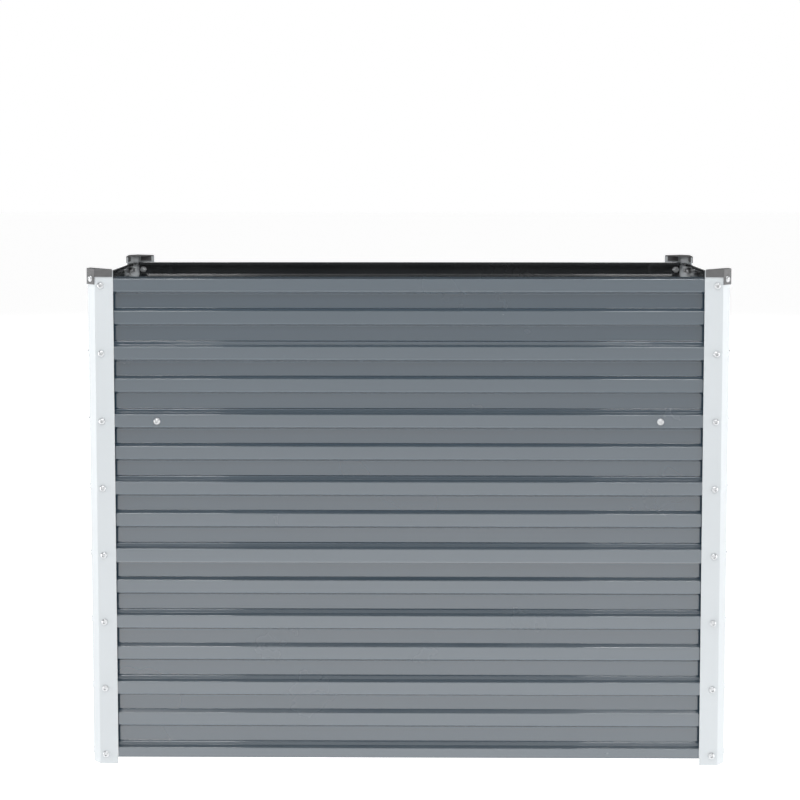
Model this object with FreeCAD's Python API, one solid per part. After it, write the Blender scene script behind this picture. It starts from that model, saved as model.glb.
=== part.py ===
"""Raised garden bed of bent sheet metal, in millimetres, +Z up.

The origin is on the ground, under the middle of the bed. The long walls face
-Y (front) and +Y (back), the short walls face -X (left) and +X (right).

Each wall is two corrugated sheets, the upper one lapped over the lower one.
Four bent corner posts hold the walls with rows of bolts, a moulded cap closes
the top of each post, and two tie bars keep the long walls from bulging.
"""
import FreeCAD, Part
import math
import os

from FreeCAD import Vector

# ---- the whole bed -------------------------------------------------------------

LENGTH_OVER_POSTS = 997.0
DEPTH_OVER_POSTS = 397.0
LOWEST_ROW_HEIGHT = 15.3
ROW_PITCH = 105.8
ROW_COUNT = 8

# ---- wall sheets: one profile, repeated once for each row of bolts --------------

PANEL_SHEET = 0.6
PANEL_BEND = 0.6
PANEL_END_CLEARANCE = 2.0
PANEL_EDGE_BELOW_ROW = 4.8
CREST_ABOVE_ROW = 10.4
CREST_BELOW_ROW = 8.8
CREST_UNDERSIDE_HEIGHT = 4.5
VALLEY_DEPTH = 9.0
RIB_TOP_BELOW_ROW = 40.0
RIB_TOP_SLOPE_HEIGHT = 5.0
RIB_HEIGHT = 19.5
RIB_SETBACK = 3.0
RIB_UNDERSIDE_HEIGHT = 4.0
STEP_SETBACK = 6.4
STEP_FOOT_SETBACK = 5.2
STEP_HEIGHT = 4.0
STEP_TOP_SLOPE_HEIGHT = 2.0
CREST_TOP_SLOPE_HEIGHT = 3.5
RIM_RISE = 3.7
RIM_DEPTH = 8.7
RIM_RETURN = 6.0

# The upper sheet ends in a drip edge on this row, counted from the top row.
LAP_ROW = 4
DRIP_EDGE_HEIGHT = 2.3
DRIP_EDGE_DEPTH = 1.1
DRIP_EDGE_CLEARANCE = 1.5
LAP_TOP_CLEARANCE = 2.0

# ---- corner posts ----------------------------------------------------------------

POST_SHEET = 1.0
POST_BEND = 1.5
FLANGE_WIDTH = 28.5
CHAMFER_RUN = 13.0

# ---- corner caps -----------------------------------------------------------------

CAP_WALL = 1.4
CAP_CLEARANCE = 0.1
CAP_SKIRT_BELOW_RIM = 0.4
CAP_TOP_ABOVE_RIM = 12.5
CAP_TOP_SLOPE = 0.03
CAP_PLATE = 1.8
CAP_SEAT_CLEARANCE = 0.3
CAP_END_SETBACK = 0.8
CAP_TAB_LENGTH = 11.9
CAP_RIB_SETBACK = 5.0
CAP_RIB_ABOVE_RIM = 1.5
CAP_EDGE_ROUND = 0.8
CAP_SCREW_BELOW_SKIRT = 3.2

# ---- fasteners -------------------------------------------------------------------

BOLT_SHANK = 6.0
BOLT_LENGTH = 12.0
BOLT_HEAD = 10.5
BOLT_HEAD_HEIGHT = 3.3
BOLT_HEAD_RIM = 0.6
BOLT_HEAD_FLAT = 5.6
BOLT_SOCKET = 4.0
BOLT_SOCKET_DEPTH = 1.7
BOLT_HOLE_CLEARANCE = 0.6
BOLT_TO_BEND = 9.3
BOLT_TIP_BEVEL = 0.6
NUT_WIDTH = 10.0
NUT_HEIGHT = 5.0
NUT_BEVEL = 0.9
THREAD_CLEARANCE = 0.1

SCREW_SHANK = 4.2
SCREW_LENGTH = 12.0
SCREW_HEAD = 10.0
SCREW_HEAD_HEIGHT = 2.8
SCREW_HEAD_RIM = 0.5
SCREW_HEAD_FLAT = 4.0
SCREW_CROSS_LENGTH = 4.6
SCREW_CROSS_WIDTH = 1.0
SCREW_CROSS_DEPTH = 1.6
SCREW_TIP = 4.0
SCREW_HOLE_CLEARANCE = 0.2

# ---- tie bars between the long walls ---------------------------------------------

TIE_ROW = 2
TIE_BOLT_FROM_END = 107.5
TIE_SHEET = 2.0
TIE_WIDTH = 15.0
TIE_BEND = 2.0
TIE_TAB = 24.0
TIE_BOLT_LENGTH = 16.0

# ---- sizes worked out from the ones above ----------------------------------------

HALF_LENGTH = LENGTH_OVER_POSTS / 2
HALF_DEPTH = DEPTH_OVER_POSTS / 2
TOP_ROW_HEIGHT = LOWEST_ROW_HEIGHT + ROW_PITCH * (ROW_COUNT - 1)
RIM_HEIGHT = TOP_ROW_HEIGHT + CREST_ABOVE_ROW + RIM_RISE
SKIRT_HEIGHT = RIM_HEIGHT - CAP_SKIRT_BELOW_RIM
CAP_TOP = RIM_HEIGHT + CAP_TOP_ABOVE_RIM
POST_HEIGHT = CAP_TOP - CAP_TOP_SLOPE * FLANGE_WIDTH - CAP_PLATE - CAP_SEAT_CLEARANCE
BOLT_HOLE = BOLT_SHANK + BOLT_HOLE_CLEARANCE
TIE_BOLT_FROM_MIDDLE = HALF_LENGTH - TIE_BOLT_FROM_END
DIAGONAL = math.sqrt(2)
QUARTER_TURN_DEG = 90

# Each wall is made facing -Y and turned about Z: quarter turns, width over posts, reach.
WALLS = {
    "front": (0, LENGTH_OVER_POSTS, HALF_DEPTH),
    "right": (1, DEPTH_OVER_POSTS, HALF_LENGTH),
    "back": (2, LENGTH_OVER_POSTS, HALF_DEPTH),
    "left": (3, DEPTH_OVER_POSTS, HALF_LENGTH),
}
# Each corner is made at -X -Y and mirrored: X sign, Y sign.
CORNERS = {
    "front_left": (1, 1),
    "front_right": (-1, 1),
    "back_left": (1, -1),
    "back_right": (-1, -1),
}
# The ends of the walls that meet at each corner: wall, side of its middle.
CORNER_ENDS = {
    "front_left": (("front", -1), ("left", 1)),
    "front_right": (("front", 1), ("right", -1)),
    "back_left": (("back", 1), ("left", -1)),
    "back_right": (("back", -1), ("right", 1)),
}


def row_height(row):
    """Height of a bolt row, counted downwards from the top row as 0."""
    return TOP_ROW_HEIGHT - row * ROW_PITCH


# ---- sheets and outlines ---------------------------------------------------------

def unit(start, end):
    """Direction from one point of a section to the next."""
    length = math.hypot(end[0] - start[0], end[1] - start[1])
    return ((end[0] - start[0]) / length, (end[1] - start[1]) / length)


def shifted(point, direction, distance):
    """A point of a section, moved along a direction."""
    return (point[0] + direction[0] * distance, point[1] + direction[1] * distance)


def face_line(points, offset):
    """The section's corner points, moved to the left of its travel by the offset."""
    line = []
    for index, point in enumerate(points):
        before = unit(points[max(index - 1, 0)], points[max(index, 1)])
        last = len(points) - 1
        after = unit(points[min(index, last - 1)], points[min(index + 1, last)])
        share = offset / (1 + before[0] * after[0] + before[1] * after[1])
        normal = (-(before[1] + after[1]), before[0] + after[0])
        line.append(shifted(point, normal, share))
    return line


def bend_edges(points, line, thickness, offset, inside_radius, place):
    """Straight and curved edges along one face of a bent sheet."""
    edges = []
    start = line[0]
    for index in range(1, len(line) - 1):
        before = unit(points[index - 1], points[index])
        after = unit(points[index], points[index + 1])
        turn = before[0] * after[1] - before[1] * after[0]
        ahead = before[0] * after[0] + before[1] * after[1]
        angle = math.atan2(abs(turn), ahead)
        inside = (turn > 0) == (offset > 0)
        radius = inside_radius if inside else inside_radius + thickness
        reach = radius * math.tan(angle / 2)
        bend_start = shifted(line[index], before, -reach)
        bend_end = shifted(line[index], after, reach)
        middle = ((bend_start[0] + bend_end[0]) / 2, (bend_start[1] + bend_end[1]) / 2)
        bulge = radius * (1 - math.cos(angle / 2))
        crown = shifted(middle, unit(middle, line[index]), bulge)
        edges.append(Part.LineSegment(place(start), place(bend_start)).toShape())
        edges.append(Part.Arc(place(bend_start), place(crown), place(bend_end)).toShape())
        start = bend_end
    edges.append(Part.LineSegment(place(start), place(line[-1])).toShape())
    return edges


def bent_sheet(points, thickness, inside_radius, place, travel):
    """Sheet bent along the points, thickened to their left and drawn out along travel."""
    near = face_line(points, 0)
    far = face_line(points, thickness)
    edges = bend_edges(points, near, thickness, 0, inside_radius, place)
    edges += bend_edges(points, far, thickness, thickness, inside_radius, place)
    edges.append(Part.LineSegment(place(near[0]), place(far[0])).toShape())
    edges.append(Part.LineSegment(place(near[-1]), place(far[-1])).toShape())
    outline = Part.Wire(Part.__sortEdges__(edges))
    return Part.Face(outline).extrude(travel)


def outline_face(points):
    """Flat face inside a closed run of points."""
    return Part.Face(Part.makePolygon(points + [points[0]]))


# ---- placing ---------------------------------------------------------------------

def on_wall(shape, wall):
    """Turn a shape made for a wall facing -Y to the wall of that name."""
    angle = WALLS[wall][0] * QUARTER_TURN_DEG
    placed = shape.copy()
    placed.rotate(Vector(0, 0, 0), Vector(0, 0, 1), angle)
    return placed


def at_corner(shape, corner):
    """Mirror a shape made for the corner at -X -Y to the corner of that name."""
    placed = shape.copy()
    if CORNERS[corner][0] < 0:
        placed = placed.mirror(Vector(0, 0, 0), Vector(1, 0, 0))
    if CORNERS[corner][1] < 0:
        placed = placed.mirror(Vector(0, 0, 0), Vector(0, 1, 0))
    return placed


def facing_out(shape, along, outward_y, height):
    """Stand a fastener, made pointing up, on a wall that faces -Y."""
    placed = shape.copy()
    placed.rotate(Vector(0, 0, 0), Vector(1, 0, 0), 90)
    placed.translate(Vector(along, outward_y, height))
    return placed


def bolt_place(wall, side):
    """Distance of a wall's end bolts from its middle, signed."""
    return side * (WALLS[wall][1] / 2 - CHAMFER_RUN - BOLT_TO_BEND)


# ---- wall sheets -----------------------------------------------------------------

def crest_to_next_crest(height):
    """Section below a crest: valley, rib, valley and the step over the next crest.

    Each point is the depth behind the crests and the height. The last one is the
    top edge of the next crest.
    """
    rib_top = height - RIB_TOP_BELOW_ROW
    rib_bottom = rib_top - RIB_HEIGHT
    next_crest = height - ROW_PITCH + CREST_ABOVE_ROW
    step_bottom = next_crest + CREST_TOP_SLOPE_HEIGHT
    step_top = step_bottom + STEP_HEIGHT
    return [
        (VALLEY_DEPTH, height - CREST_BELOW_ROW - CREST_UNDERSIDE_HEIGHT),
        (VALLEY_DEPTH, rib_top + RIB_TOP_SLOPE_HEIGHT),
        (RIB_SETBACK, rib_top),
        (RIB_SETBACK, rib_bottom),
        (VALLEY_DEPTH, rib_bottom - RIB_UNDERSIDE_HEIGHT),
        (VALLEY_DEPTH, step_top + STEP_TOP_SLOPE_HEIGHT),
        (STEP_SETBACK, step_top),
        (STEP_FOOT_SETBACK, step_bottom),
        (0, next_crest),
    ]


def upper_section():
    """Section of an upper sheet, from its turned-in rim down to its drip edge."""
    crest_top = row_height(0) + CREST_ABOVE_ROW
    points = [
        (RIM_DEPTH, RIM_HEIGHT - RIM_RETURN),
        (RIM_DEPTH, RIM_HEIGHT),
        (0, crest_top),
    ]
    for row in range(LAP_ROW):
        points.append((0, row_height(row) - CREST_BELOW_ROW))
        points += crest_to_next_crest(row_height(row))
    drip_top = row_height(LAP_ROW) - CREST_BELOW_ROW
    points.append((0, drip_top))
    points.append((DRIP_EDGE_DEPTH, drip_top - DRIP_EDGE_HEIGHT))
    return points


def lower_section():
    """Section of a lower sheet, whose top crest nests behind the upper sheet."""
    lap = row_height(LAP_ROW)
    lap_bottom = lap - CREST_BELOW_ROW + DRIP_EDGE_CLEARANCE
    points = [
        (PANEL_SHEET, lap + CREST_ABOVE_ROW - LAP_TOP_CLEARANCE),
        (PANEL_SHEET, lap_bottom),
    ]
    points += crest_to_next_crest(lap)
    for row in range(LAP_ROW + 1, ROW_COUNT - 1):
        points.append((0, row_height(row) - CREST_BELOW_ROW))
        points += crest_to_next_crest(row_height(row))
    points.append((0, LOWEST_ROW_HEIGHT - PANEL_EDGE_BELOW_ROW))
    return points


def hole_through(along, height, reach, diameter):
    """Cylinder that cuts a hole through a wall facing -Y."""
    overshoot = VALLEY_DEPTH + POST_SHEET
    start = Vector(along, -reach - overshoot, height)
    return Part.makeCylinder(diameter / 2, 3 * overshoot, start, Vector(0, 1, 0))


def wall_sheet(section, wall, rows, tie_places):
    """One corrugated sheet of a wall, with a hole for each bolt that passes it."""
    width = WALLS[wall][1]
    reach = WALLS[wall][2]
    half = width / 2 - CHAMFER_RUN - PANEL_END_CLEARANCE

    def place(point):
        return Vector(-half, -reach + POST_SHEET + point[0], point[1])

    sheet = bent_sheet(section, PANEL_SHEET, PANEL_BEND, place, Vector(2 * half, 0, 0))
    holes = []
    for row in rows:
        for side in (-1, 1):
            along = bolt_place(wall, side)
            holes.append(hole_through(along, row_height(row), reach, BOLT_HOLE))
    for along in tie_places:
        holes.append(hole_through(along, row_height(TIE_ROW), reach, BOLT_HOLE))
    return on_wall(sheet.cut(Part.makeCompound(holes)), wall)


def wall_sheets():
    """The upper and lower sheets of the four walls."""
    sheets = {}
    for wall in WALLS:
        ties = (-TIE_BOLT_FROM_MIDDLE, TIE_BOLT_FROM_MIDDLE)
        if wall in ("left", "right"):
            ties = ()
        upper_rows = range(LAP_ROW + 1)
        lower_rows = range(LAP_ROW, ROW_COUNT)
        sheets[wall + "_panel_upper"] = wall_sheet(upper_section(), wall, upper_rows, ties)
        sheets[wall + "_panel_lower"] = wall_sheet(lower_section(), wall, lower_rows, ())
    return sheets


# ---- corner posts ----------------------------------------------------------------

def corner_outline(offset, end_setback):
    """Outline round the outside of the corner at -X -Y, pushed outwards by offset.

    It runs from the end of the side flange to the end of the front flange.
    """
    bend = offset * math.tan(math.pi / 8)
    x_out = -HALF_LENGTH - offset
    y_out = -HALF_DEPTH - offset
    return [
        (x_out, -HALF_DEPTH + CHAMFER_RUN + FLANGE_WIDTH - end_setback),
        (x_out, -HALF_DEPTH + CHAMFER_RUN - bend),
        (-HALF_LENGTH + CHAMFER_RUN - bend, y_out),
        (-HALF_LENGTH + CHAMFER_RUN + FLANGE_WIDTH - end_setback, y_out),
    ]


def corner_post():
    """Post for the corner at -X -Y: two flanges and a chamfer between them."""
    post = bent_sheet(
        corner_outline(0, 0),
        POST_SHEET,
        POST_BEND,
        lambda point: Vector(point[0], point[1], 0),
        Vector(0, 0, POST_HEIGHT),
    )
    holes = [chamfer_cylinder(SCREW_SHANK + SCREW_HOLE_CLEARANCE)]
    for row in range(ROW_COUNT):
        for wall, side in CORNER_ENDS["front_left"]:
            hole = hole_through(bolt_place(wall, side), row_height(row), WALLS[wall][2], BOLT_HOLE)
            holes.append(on_wall(hole, wall))
    return post.cut(Part.makeCompound(holes))


# ---- corner caps -----------------------------------------------------------------

def chamfer_middle(offset):
    """Point on the middle of the chamfer, pushed outwards, at the cap screw's height."""
    shift = CHAMFER_RUN / 2 - offset / DIAGONAL
    height = SKIRT_HEIGHT - CAP_SCREW_BELOW_SKIRT
    return Vector(-HALF_LENGTH + shift, -HALF_DEPTH + shift, height)


def chamfer_cylinder(diameter):
    """Cylinder that cuts a hole through the chamfer and the cap's tab."""
    reach = CAP_WALL + CAP_CLEARANCE + POST_SHEET
    outward = Vector(-1, -1, 0)
    return Part.makeCylinder(diameter / 2, 4 * reach, chamfer_middle(-2 * reach), outward)


def roof_point(point, drop):
    """Point on the cap's sloping top, less a drop, over a point of the plan."""
    chamfer_start = -HALF_LENGTH - HALF_DEPTH + CHAMFER_RUN
    inward = point[0] + point[1] - chamfer_start
    return Vector(point[0], point[1], CAP_TOP - CAP_TOP_SLOPE * inward - drop)


def roofed_prism(outline, floor, drop):
    """Upright block on an outline, from the floor up to the cap's slope less a drop."""
    base = []
    roof = []
    for point in outline:
        base.append(Vector(point[0], point[1], floor))
    for along, inward in ((0, 0), (0, 1), (1, 1), (1, 0)):
        corner = (-2 * HALF_LENGTH * (1 - along), -2 * HALF_DEPTH * (1 - inward))
        roof.append(roof_point(corner, drop))
    above = outline_face(roof).extrude(Vector(0, 0, RIM_HEIGHT))
    return outline_face(base).extrude(Vector(0, 0, RIM_HEIGHT / 2)).cut(above)


def cap_rib():
    """Rib that grips the inner face of the front flange."""
    outer_y = -HALF_DEPTH + POST_SHEET + CAP_CLEARANCE
    start = -HALF_LENGTH + CHAMFER_RUN + CAP_RIB_SETBACK
    end = -HALF_LENGTH + CHAMFER_RUN + FLANGE_WIDTH - CAP_RIB_SETBACK
    outline = [
        (start, outer_y),
        (end, outer_y),
        (end, outer_y + CAP_WALL),
        (start, outer_y + CAP_WALL),
    ]
    return roofed_prism(outline, RIM_HEIGHT + CAP_RIB_ABOVE_RIM, CAP_PLATE / 2)


def corner_cap():
    """Cap over the post at -X -Y: sloping top, skirt, two ribs and a screwed tab."""
    outer = corner_outline(CAP_CLEARANCE + CAP_WALL, CAP_END_SETBACK)
    inner = corner_outline(CAP_CLEARANCE, -CAP_WALL)
    cap = roofed_prism(outer, SKIRT_HEIGHT, 0)
    top_edges = []
    for edge in cap.Edges:
        lowest = min(vertex.Z for vertex in edge.Vertexes)
        if lowest > SKIRT_HEIGHT + CAP_PLATE:
            top_edges.append(edge)
    cap = cap.makeFillet(CAP_EDGE_ROUND, top_edges)
    cap = cap.cut(roofed_prism(inner, SKIRT_HEIGHT - CAP_WALL, CAP_PLATE))
    tab_outline = [outer[1], outer[2], inner[2], inner[1]]
    tab_points = []
    for point in tab_outline:
        tab_points.append(Vector(point[0], point[1], SKIRT_HEIGHT - CAP_TAB_LENGTH))
    tab = outline_face(tab_points).extrude(Vector(0, 0, CAP_TAB_LENGTH + CAP_WALL))
    rib = cap_rib()
    side_rib = rib.mirror(Vector(-HALF_LENGTH, -HALF_DEPTH, 0), Vector(1, -1, 0))
    cap = cap.fuse([tab, rib, side_rib]).removeSplitter()
    return cap.cut(chamfer_cylinder(SCREW_SHANK + SCREW_HOLE_CLEARANCE))


# ---- fasteners, made pointing up with the head's underside at height 0 -------------

def turned(profile):
    """Solid of revolution about Z from a closed list of radius and height points."""
    points = []
    for radius, height in profile:
        points.append(Vector(radius, 0, height))
    return outline_face(points).revolve(Vector(0, 0, 0), Vector(0, 0, 1), 360)


def domed_head(diameter, rim, height, flat):
    """Low domed screw head standing on height 0."""
    radius = diameter / 2
    rise = height - rim
    run = radius - flat / 2
    bulge = math.hypot(run, rise) / 8
    slant = math.atan2(rise, run)
    middle = Vector(
        radius - run / 2 + bulge * math.sin(slant),
        0,
        rim + rise / 2 + bulge * math.cos(slant),
    )
    corner = Vector(radius, 0, rim)
    crown = Vector(flat / 2, 0, height)
    axis_top = Vector(0, 0, height)
    axis_bottom = Vector(0, 0, 0)
    base = Vector(radius, 0, 0)
    edges = [
        Part.LineSegment(axis_bottom, base).toShape(),
        Part.LineSegment(base, corner).toShape(),
        Part.Arc(corner, middle, crown).toShape(),
        Part.LineSegment(crown, axis_top).toShape(),
        Part.LineSegment(axis_top, axis_bottom).toShape(),
    ]
    return Part.Face(Part.Wire(edges)).revolve(Vector(0, 0, 0), Vector(0, 0, 1), 360)


def hexagon(width, height, base):
    """Hexagonal prism, by its width across flats."""
    radius = width / math.sqrt(3)
    points = []
    for corner in range(6):
        angle = math.radians(60 * corner)
        points.append(Vector(radius * math.cos(angle), radius * math.sin(angle), base))
    return outline_face(points).extrude(Vector(0, 0, height))


def socket_bolt(length):
    """Button-head bolt with a hexagonal socket."""
    shank_radius = BOLT_SHANK / 2
    shank = turned([
        (0, BOLT_HEAD_RIM),
        (shank_radius, BOLT_HEAD_RIM),
        (shank_radius, -length + BOLT_TIP_BEVEL),
        (shank_radius - BOLT_TIP_BEVEL, -length),
        (0, -length),
    ])
    head = domed_head(BOLT_HEAD, BOLT_HEAD_RIM, BOLT_HEAD_HEIGHT, BOLT_HEAD_FLAT)
    socket = hexagon(BOLT_SOCKET, BOLT_HEAD_HEIGHT, BOLT_HEAD_HEIGHT - BOLT_SOCKET_DEPTH)
    return head.fuse(shank).removeSplitter().cut(socket)


def hexagon_nut():
    """Nut that hangs down from height 0, bevelled on both faces."""
    bevel_radius = NUT_WIDTH / math.sqrt(3)
    face_radius = NUT_WIDTH / 2
    envelope = turned([
        (0, 0),
        (face_radius, 0),
        (bevel_radius, -NUT_BEVEL),
        (bevel_radius, -NUT_HEIGHT + NUT_BEVEL),
        (face_radius, -NUT_HEIGHT),
        (0, -NUT_HEIGHT),
    ])
    bore_radius = (BOLT_SHANK + THREAD_CLEARANCE) / 2
    bore = Part.makeCylinder(bore_radius, 3 * NUT_HEIGHT, Vector(0, 0, -2 * NUT_HEIGHT))
    return hexagon(NUT_WIDTH, NUT_HEIGHT, -NUT_HEIGHT).common(envelope).cut(bore)


def cap_screw():
    """Pan-head screw with a cross recess and a pointed tip."""
    shank_radius = SCREW_SHANK / 2
    shank = turned([
        (0, SCREW_HEAD_RIM),
        (shank_radius, SCREW_HEAD_RIM),
        (shank_radius, -SCREW_LENGTH + SCREW_TIP),
        (0, -SCREW_LENGTH),
    ])
    head = domed_head(SCREW_HEAD, SCREW_HEAD_RIM, SCREW_HEAD_HEIGHT, SCREW_HEAD_FLAT)
    screw = head.fuse(shank).removeSplitter()
    floor = SCREW_HEAD_HEIGHT - SCREW_CROSS_DEPTH
    corner = Vector(-SCREW_CROSS_LENGTH / 2, -SCREW_CROSS_WIDTH / 2, floor)
    slot = Part.makeBox(SCREW_CROSS_LENGTH, SCREW_CROSS_WIDTH, SCREW_HEAD_HEIGHT, corner)
    cross_slot = slot.copy()
    cross_slot.rotate(Vector(0, 0, 0), Vector(0, 0, 1), 90)
    return screw.cut(slot).cut(cross_slot)


def corner_fasteners(corner):
    """The bolts and nuts through both flanges of one post."""
    bolts = []
    nuts = []
    bolt = socket_bolt(BOLT_LENGTH)
    nut = hexagon_nut()
    for wall, side in CORNER_ENDS[corner]:
        reach = WALLS[wall][2]
        along = bolt_place(wall, side)
        for row in range(ROW_COUNT):
            height = row_height(row)
            sheets = 2 if row == LAP_ROW else 1
            seat = -reach + POST_SHEET + sheets * PANEL_SHEET
            bolts.append(on_wall(facing_out(bolt, along, -reach, height), wall))
            nuts.append(on_wall(facing_out(nut, along, seat, height), wall))
    return bolts, nuts


def cap_screws():
    """One screw through the tab of each cap, square to the chamfer."""
    screws = []
    for corner in CORNERS:
        screw = cap_screw()
        screw.rotate(Vector(0, 0, 0), Vector(1, 0, 0), 90)
        screw.rotate(Vector(0, 0, 0), Vector(0, 0, 1), -45)
        screw.translate(chamfer_middle(CAP_CLEARANCE + CAP_WALL))
        screws.append(at_corner(screw, corner))
    return screws


# ---- tie bars --------------------------------------------------------------------

def tie_bar(side):
    """Strap from the front wall to the back wall, with a bent tab at each end."""
    face = HALF_DEPTH - POST_SHEET - PANEL_SHEET
    bar = TIE_BOLT_FROM_MIDDLE - TIE_TAB / 2
    tip = TIE_BOLT_FROM_MIDDLE + TIE_TAB / 2
    base = row_height(TIE_ROW) - TIE_WIDTH / 2
    strap = bent_sheet(
        [(tip, face), (bar, face), (bar, -face), (tip, -face)],
        TIE_SHEET,
        TIE_BEND,
        lambda point: Vector(point[0], point[1], base),
        Vector(0, 0, TIE_WIDTH),
    )
    hole = Part.makeCylinder(
        BOLT_HOLE / 2,
        DEPTH_OVER_POSTS,
        Vector(TIE_BOLT_FROM_MIDDLE, -HALF_DEPTH, row_height(TIE_ROW)),
        Vector(0, 1, 0),
    )
    strap = strap.cut(hole)
    if side < 0:
        strap = strap.mirror(Vector(0, 0, 0), Vector(1, 0, 0))
    return strap


def tie_fasteners():
    """The bolts and nuts at both ends of both tie bars."""
    bolts = []
    nuts = []
    bolt = socket_bolt(TIE_BOLT_LENGTH)
    nut = hexagon_nut()
    crest = -HALF_DEPTH + POST_SHEET
    seat = crest + PANEL_SHEET + TIE_SHEET
    height = row_height(TIE_ROW)
    for wall in ("front", "back"):
        for side in (-1, 1):
            along = side * TIE_BOLT_FROM_MIDDLE
            bolts.append(on_wall(facing_out(bolt, along, crest, height), wall))
            nuts.append(on_wall(facing_out(nut, along, seat, height), wall))
    return bolts, nuts


# ---- the assembly ----------------------------------------------------------------

def build():
    """Every node of the bed, by name."""
    nodes = wall_sheets()
    post = corner_post()
    cap = corner_cap()
    for corner in CORNERS:
        bolts, nuts = corner_fasteners(corner)
        nodes["post_" + corner] = at_corner(post, corner)
        nodes["cap_" + corner] = at_corner(cap, corner)
        nodes["post_bolts_" + corner] = Part.makeCompound(bolts)
        nodes["post_nuts_" + corner] = Part.makeCompound(nuts)
    nodes["cap_screws"] = Part.makeCompound(cap_screws())
    nodes["tie_bar_left"] = tie_bar(-1)
    nodes["tie_bar_right"] = tie_bar(1)
    tie_bolts, tie_nuts = tie_fasteners()
    nodes["tie_bar_bolts"] = Part.makeCompound(tie_bolts)
    nodes["tie_bar_nuts"] = Part.makeCompound(tie_nuts)
    return nodes


def main():
    os.makedirs("parts", exist_ok=True)
    for name, shape in build().items():
        shape.exportStep("parts/" + name + ".step")
        solids = len(shape.Solids)
        print(name, solids, "solid(s)", round(shape.Volume), "mm3", "valid", shape.isValid())


main()
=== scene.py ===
import math

import bpy
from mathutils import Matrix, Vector


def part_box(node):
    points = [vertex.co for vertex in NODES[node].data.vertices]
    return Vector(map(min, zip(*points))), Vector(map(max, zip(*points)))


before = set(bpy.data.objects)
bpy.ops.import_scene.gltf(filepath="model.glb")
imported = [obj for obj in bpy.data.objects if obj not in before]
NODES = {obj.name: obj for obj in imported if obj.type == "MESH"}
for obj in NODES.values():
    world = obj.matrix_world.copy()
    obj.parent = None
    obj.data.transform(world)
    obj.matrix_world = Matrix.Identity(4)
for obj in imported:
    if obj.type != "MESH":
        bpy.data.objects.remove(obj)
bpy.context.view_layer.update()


def wall_face(node, axis):
    """Outermost reach of a wall sheet along an axis."""
    return max(abs(corner[axis]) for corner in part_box(node))


WALL_FACE = (wall_face("right_panel_upper", 0), wall_face("back_panel_upper", 1))

# ---- camera: a nearly level lens in front of the long wall ----------------------

IMAGE_WIDTH = 800
FOCAL_PIXELS = 1600.2
SENSOR_MM = 36.0
CAMERA_PLACE = (0.0085, -2.6621, 0.9397)
CAMERA_PITCH_DEG = 3.77
CAMERA_YAW_DEG = -0.50
LENS_SHIFT = -0.16

# ---- colours, linear -------------------------------------------------------------

WALL_GREY = (0.043, 0.061, 0.078)
# Painted shade: the wall grey, darkened and cooled for the shade in the valleys.
VALLEY_SHADE_GREY = (0.020, 0.037, 0.054)
# Painted shade: the inner side of the sheets, darkened for the shade inside the bed.
INNER_SIDE_SHADE_GREY = (0.015, 0.017, 0.019)
POST_PALE = (0.44, 0.465, 0.482)
CAP_GREY = (0.076, 0.076, 0.078)
ZINC = (0.50, 0.51, 0.52)
TIE_ZINC = (0.56, 0.57, 0.58)
FLOOR_WHITE = (0.60, 0.60, 0.60)
COAT_ROUGHNESS = 0.06
COAT_IOR = 1.65
PAINT_RELIEF = 0.00004

# Depths behind the crests between which the paint turns to the valley colour, a painted
# shade for the recesses.
VALLEY_SHADE_FROM = 0.002
VALLEY_SHADE_FULL = 0.009
# Width of the blend from the outer paint to the painted shade of the inner side.
SIDE_BLEND = 0.001

# ---- light -----------------------------------------------------------------------

FLOOR_GLOW_NEAR = 1.62
FLOOR_GLOW_FAR = 0.85
FLOOR_GLOW_START = 0.5
FLOOR_GLOW_REACH = 8.0
FLOOR_REACH = 30.0
HORIZON_GLOW = 1.0
ZENITH_GLOW = 0.08
HORIZON_TOP = 0.22
ZENITH_START = 0.46

# Soft lights: place, direction they shine in, width and height, radiance.
KEY_LIGHT = ((0.0, -1.3, 2.2), (0, 0.95, -1.6), (1.6, 0.8), 7.5)
GLOSS_FRONT = ((0.0, -2.4, 1.9), (0, 2.2, -1.2), (1.5, 0.5), 1.0)
SIDE_PLACE = (2.5, -0.35, 0.8)
SIDE_TILT = -0.15
SIDE_SIZE = (1.0, 1.6)
SIDE_RADIANCE = 5.4

# Gloss strips overhead: middle, width, depth and radiance. They stand forward of the
# wall, because each crest hides what is straight above the bends under it, and far
# enough forward that the back rim doesn't mirror them when seen from behind.
STRIP_HEIGHT = 2.0
GLOSS_STRIPS = {
    "strip_left": (-0.76, -0.85, 0.56, 0.40, 22.0),
    "strip_middle": (0.0, -0.85, 0.96, 0.40, 4.0),
    "strip_right": (0.76, -0.85, 0.56, 0.40, 22.0),
}


def make_camera():
    """Camera at the photograph's viewing angle."""
    data = bpy.data.cameras.new("camera")
    data.sensor_width = SENSOR_MM
    data.lens = SENSOR_MM * FOCAL_PIXELS / IMAGE_WIDTH
    data.shift_y = LENS_SHIFT
    data.clip_start = 0.05
    data.clip_end = 100.0
    camera = bpy.data.objects.new("camera", data)
    bpy.context.scene.collection.objects.link(camera)
    camera.location = CAMERA_PLACE
    camera.rotation_euler = (
        math.radians(90 - CAMERA_PITCH_DEG),
        0,
        -math.radians(CAMERA_YAW_DEG),
    )
    bpy.context.scene.camera = camera


# ---- node helpers ----------------------------------------------------------------

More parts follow.
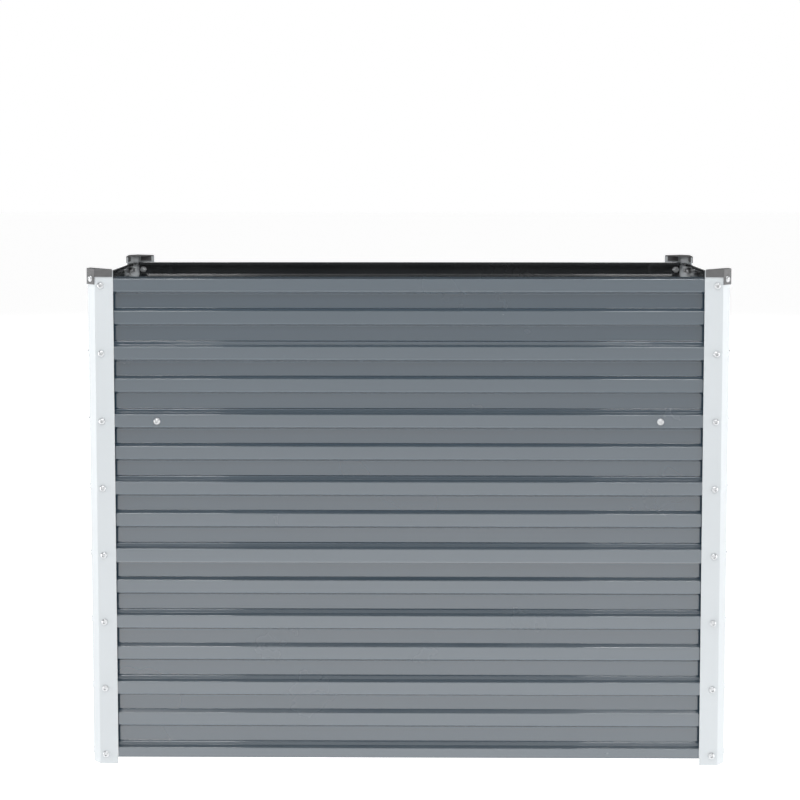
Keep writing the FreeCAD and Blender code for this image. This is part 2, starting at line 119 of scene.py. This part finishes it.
class Shading:
    """A node material around one Principled shader."""

    def __init__(self, name):
        self.material = bpy.data.materials.new(name)
        self.material.use_nodes = True
        self.tree = self.material.node_tree
        self.shader = self.tree.nodes["Principled BSDF"]
        self.place = self.node("ShaderNodeTexCoord").outputs["Object"]

    def node(self, kind, **settings):
        made = self.tree.nodes.new(kind)
        for key, value in settings.items():
            setattr(made, key, value)
        return made

    def link(self, output, target):
        self.tree.links.new(output, target)

    def set(self, **values):
        """Constants set on the shader's own sockets."""
        for key, value in values.items():
            self.shader.inputs[key.replace("_", " ")].default_value = value

    def stretched(self, scale):
        """The object's own coordinates, stretched."""
        mapping = self.node("ShaderNodeMapping")
        mapping.inputs["Scale"].default_value = scale
        self.link(self.place, mapping.inputs["Vector"])
        return mapping.outputs["Vector"]

    def noise(self, scale, detail=4.0, roughness=0.55, stretch=(1, 1, 1)):
        """Noise, as a value round one half."""
        made = self.node("ShaderNodeTexNoise")
        made.inputs["Scale"].default_value = scale
        made.inputs["Detail"].default_value = detail
        made.inputs["Roughness"].default_value = roughness
        self.link(self.stretched(stretch), made.inputs["Vector"])
        return made.outputs["Fac"]

    def spangle(self, scale):
        """Random value for each crystal of a zinc coat."""
        made = self.node("ShaderNodeTexVoronoi")
        made.inputs["Scale"].default_value = scale
        self.link(self.place, made.inputs["Vector"])
        split = self.node("ShaderNodeSeparateColor")
        self.link(made.outputs["Color"], split.inputs["Color"])
        return split.outputs["Red"]

    def ramp(self, value, low, high, out_low, out_high):
        """Value moved from one range to another, clamped."""
        made = self.node("ShaderNodeMapRange")
        made.inputs["From Min"].default_value = low
        made.inputs["From Max"].default_value = high
        made.inputs["To Min"].default_value = out_low
        made.inputs["To Max"].default_value = out_high
        self.link(value, made.inputs["Value"])
        return made.outputs["Result"]

    def mix(self, factor, first, second):
        """Colour between two colours or colour outputs."""
        made = self.node("ShaderNodeMix", data_type="RGBA")
        self.link(factor, made.inputs["Factor"])
        for socket, value in (("A", first), ("B", second)):
            inputs = [s for s in made.inputs if s.name == socket and s.type == "RGBA"]
            if isinstance(value, tuple):
                inputs[0].default_value = (*value, 1)
            else:
                self.link(value, inputs[0])
        return [s for s in made.outputs if s.type == "RGBA"][0]

    def add(self, first, second):
        made = self.node("ShaderNodeMath", operation="ADD")
        self.link(first, made.inputs[0])
        self.link(second, made.inputs[1])
        return made.outputs[0]

    def scaled(self, value, factor):
        made = self.node("ShaderNodeMath", operation="MULTIPLY")
        self.link(value, made.inputs[0])
        made.inputs[1].default_value = factor
        return made.outputs[0]

    def depth_behind(self, face_x, face_y):
        """How far a point lies behind the faces of an upright box."""
        split = self.node("ShaderNodeSeparateXYZ")
        self.link(self.place, split.inputs[0])
        depths = []
        for axis, face in (("X", face_x), ("Y", face_y)):
            distance = self.node("ShaderNodeMath", operation="ABSOLUTE")
            self.link(split.outputs[axis], distance.inputs[0])
            behind = self.node("ShaderNodeMath", operation="SUBTRACT")
            behind.inputs[0].default_value = face
            self.link(distance.outputs[0], behind.inputs[1])
            depths.append(behind.outputs[0])
        nearer = self.node("ShaderNodeMath", operation="MINIMUM")
        self.link(depths[0], nearer.inputs[0])
        self.link(depths[1], nearer.inputs[1])
        return nearer.outputs[0]

    def facing_out(self):
        """Positive where the surface faces away from the upright axis."""
        flat = self.node("ShaderNodeVectorMath", operation="MULTIPLY")
        flat.inputs[1].default_value = (1, 1, 0)
        self.link(self.place, flat.inputs[0])
        geometry = self.node("ShaderNodeNewGeometry")
        outward = self.node("ShaderNodeVectorMath", operation="DOT_PRODUCT")
        self.link(geometry.outputs["True Normal"], outward.inputs[0])
        self.link(flat.outputs[0], outward.inputs[1])
        return outward.outputs["Value"]

    def cloudy(self, color):
        """Colour that varies a little over large patches."""
        patches = self.ramp(self.noise(3.0, 3.0), 0.3, 0.7, 0.0, 1.0)
        return self.mix(patches, shade(color, 0.975), shade(color, 1.025))

    def color(self, output):
        self.link(output, self.shader.inputs["Base Color"])

    def roughness(self, output):
        self.link(output, self.shader.inputs["Roughness"])

    def bump(self, height, distance, strength=1.0):
        made = self.node("ShaderNodeBump")
        made.inputs["Strength"].default_value = strength
        made.inputs["Distance"].default_value = distance
        self.link(height, made.inputs["Height"])
        self.link(made.outputs["Normal"], self.shader.inputs["Normal"])


def shade(color, factor):
    """Colour made lighter or darker."""
    return tuple(channel * factor for channel in color)


# ---- materials -------------------------------------------------------------------

def painted_sheet(name, roughness, coat):
    """Glossy paint on galvanised sheet, with a fine orange peel and slow waves."""
    look = Shading(name)
    look.roughness(look.ramp(look.noise(9.0, 4.0), 0.3, 0.7, *roughness))
    look.set(
        Specular_IOR_Level=0.5,
        Coat_Weight=coat,
        Coat_Roughness=COAT_ROUGHNESS,
        Coat_IOR=COAT_IOR,
    )
    peel = look.scaled(look.noise(900.0, 2.0), 0.25)
    waves = look.scaled(look.noise(7.0, 1.0, stretch=(1, 1, 2.5)), 8.0)
    look.bump(look.add(peel, waves), PAINT_RELIEF)
    return look


def wall_paint():
    """Wall paint with painted shade: darker in the valleys behind the crests and darker
    still on the inner side of the sheets.
    """
    look = painted_sheet("wall_paint", (0.20, 0.28), 1.0)
    behind = look.depth_behind(*WALL_FACE)
    # Painted shade: the deeper a point lies behind the crests, the darker its paint.
    valley_shade = look.ramp(behind, VALLEY_SHADE_FROM, VALLEY_SHADE_FULL, 0.0, 1.0)
    outer_paint_with_shade = look.mix(valley_shade, look.cloudy(WALL_GREY), look.cloudy(VALLEY_SHADE_GREY))
    # Painted shade: surfaces facing into the bed take the dark inner grey.
    side = look.ramp(look.facing_out(), -SIDE_BLEND, SIDE_BLEND, 0.0, 1.0)
    look.color(look.mix(side, INNER_SIDE_SHADE_GREY, outer_paint_with_shade))
    return look.material


def post_paint():
    """Pale satin paint."""
    look = painted_sheet("post_paint", (0.30, 0.38), 0.0)
    look.color(look.cloudy(POST_PALE))
    return look.material


def cap_plastic():
    """Matt moulded plastic with a fine spark-eroded grain."""
    look = Shading("cap_plastic")
    mottle = look.ramp(look.noise(60.0, 5.0), 0.3, 0.7, 0.0, 1.0)
    look.color(look.mix(mottle, shade(CAP_GREY, 0.9), shade(CAP_GREY, 1.1)))
    look.roughness(look.ramp(look.noise(400.0, 3.0), 0.3, 0.7, 0.50, 0.68))
    look.bump(look.noise(1500.0, 3.0), 0.00015)
    return look.material


def zinc(name, color, crystal_scale, roughness_range):
    """Zinc coat with faint crystals."""
    look = Shading(name)
    crystal = look.spangle(crystal_scale)
    look.color(look.mix(crystal, shade(color, 0.88), shade(color, 1.06)))
    look.roughness(look.ramp(crystal, 0.0, 1.0, *roughness_range))
    look.set(Metallic=1.0)
    look.bump(look.noise(600.0, 3.0), 0.00003)
    return look.material


def floor_white():
    """Backlit white floor, so that it stays pale to the horizon."""
    look = Shading("floor_white")
    look.set(
        Base_Color=(*FLOOR_WHITE, 1),
        Roughness=0.9,
        Specular_IOR_Level=0.1,
        Emission_Color=(1, 1, 1, 1),
    )
    away = look.node("ShaderNodeVectorMath", operation="LENGTH")
    look.link(look.place, away.inputs[0])
    glow = look.ramp(
        away.outputs["Value"],
        FLOOR_GLOW_START,
        FLOOR_GLOW_REACH,
        FLOOR_GLOW_NEAR,
        FLOOR_GLOW_FAR,
    )
    look.link(glow, look.shader.inputs["Emission Strength"])
    return look.material


def dress_nodes():
    """Give every CAD node its material, by the first of these words in its name."""
    bright = zinc("bright_zinc", ZINC, 700.0, (0.34, 0.46))
    finishes = (
        ("_panel_", wall_paint()),
        ("bolts", bright),
        ("nuts", bright),
        ("screws", bright),
        ("post_", post_paint()),
        ("cap_", cap_plastic()),
        ("tie_bar_", zinc("dull_zinc", TIE_ZINC, 180.0, (0.34, 0.48))),
    )
    for name, node in NODES.items():
        material = next(finish for word, finish in finishes if word in name)
        node.data.materials.clear()
        node.data.materials.append(material)


# ---- studio ----------------------------------------------------------------------

def make_floor():
    """Large pale floor under the bed."""
    mesh = bpy.data.meshes.new("floor")
    corners = []
    for x, y in ((-1, -1), (1, -1), (1, 1), (-1, 1)):
        corners.append((x * FLOOR_REACH, y * FLOOR_REACH, 0))
    mesh.from_pydata(corners, [], [(0, 1, 2, 3)])
    floor = bpy.data.objects.new("floor", mesh)
    bpy.context.scene.collection.objects.link(floor)
    floor.data.materials.append(floor_white())


def softbox(name, place, direction, size, radiance):
    """Rectangular soft light that shines in a direction, unseen by the camera."""
    data = bpy.data.lights.new(name, "AREA")
    data.shape = "RECTANGLE"
    data.size, data.size_y = size
    data.energy = radiance * math.pi * data.size * data.size_y
    light = bpy.data.objects.new(name, data)
    bpy.context.scene.collection.objects.link(light)
    light.location = place
    light.rotation_euler = Vector(direction).to_track_quat("-Z", "Y").to_euler()
    light.visible_camera = False
    return light


def make_surround():
    """White surround that dims overhead."""
    world = bpy.data.worlds.new("studio")
    bpy.context.scene.world = world
    world.use_nodes = True
    tree = world.node_tree
    place = tree.nodes.new("ShaderNodeTexCoord")
    split = tree.nodes.new("ShaderNodeSeparateXYZ")
    fade = tree.nodes.new("ShaderNodeMapRange")
    fade.interpolation_type = "SMOOTHSTEP"
    fade.inputs["From Min"].default_value = HORIZON_TOP
    fade.inputs["From Max"].default_value = ZENITH_START
    fade.inputs["To Min"].default_value = HORIZON_GLOW
    fade.inputs["To Max"].default_value = ZENITH_GLOW
    tree.links.new(place.outputs["Generated"], split.inputs[0])
    tree.links.new(split.outputs["Z"], fade.inputs["Value"])
    surround = tree.nodes["Background"]
    surround.inputs["Color"].default_value = (1, 1, 1, 1)
    tree.links.new(fade.outputs["Result"], surround.inputs["Strength"])


def make_lights():
    """Key light, lights seen only as gloss, and a tall softbox on each side."""
    softbox("key", *KEY_LIGHT).visible_glossy = False
    for name, (x, y, width, depth, radiance) in GLOSS_STRIPS.items():
        strip = softbox(name, (x, y, STRIP_HEIGHT), (0, 0, -1), (width, depth), radiance)
        strip.visible_diffuse = False
    softbox("gloss_front", *GLOSS_FRONT).visible_diffuse = False
    for side, name in ((-1, "softbox_left"), (1, "softbox_right")):
        place = (side * SIDE_PLACE[0], SIDE_PLACE[1], SIDE_PLACE[2])
        softbox(name, place, (-side, 0, SIDE_TILT), SIDE_SIZE, SIDE_RADIANCE)


bpy.context.scene.view_settings.view_transform = "Standard"
make_camera()
dress_nodes()
make_floor()
make_surround()
make_lights()
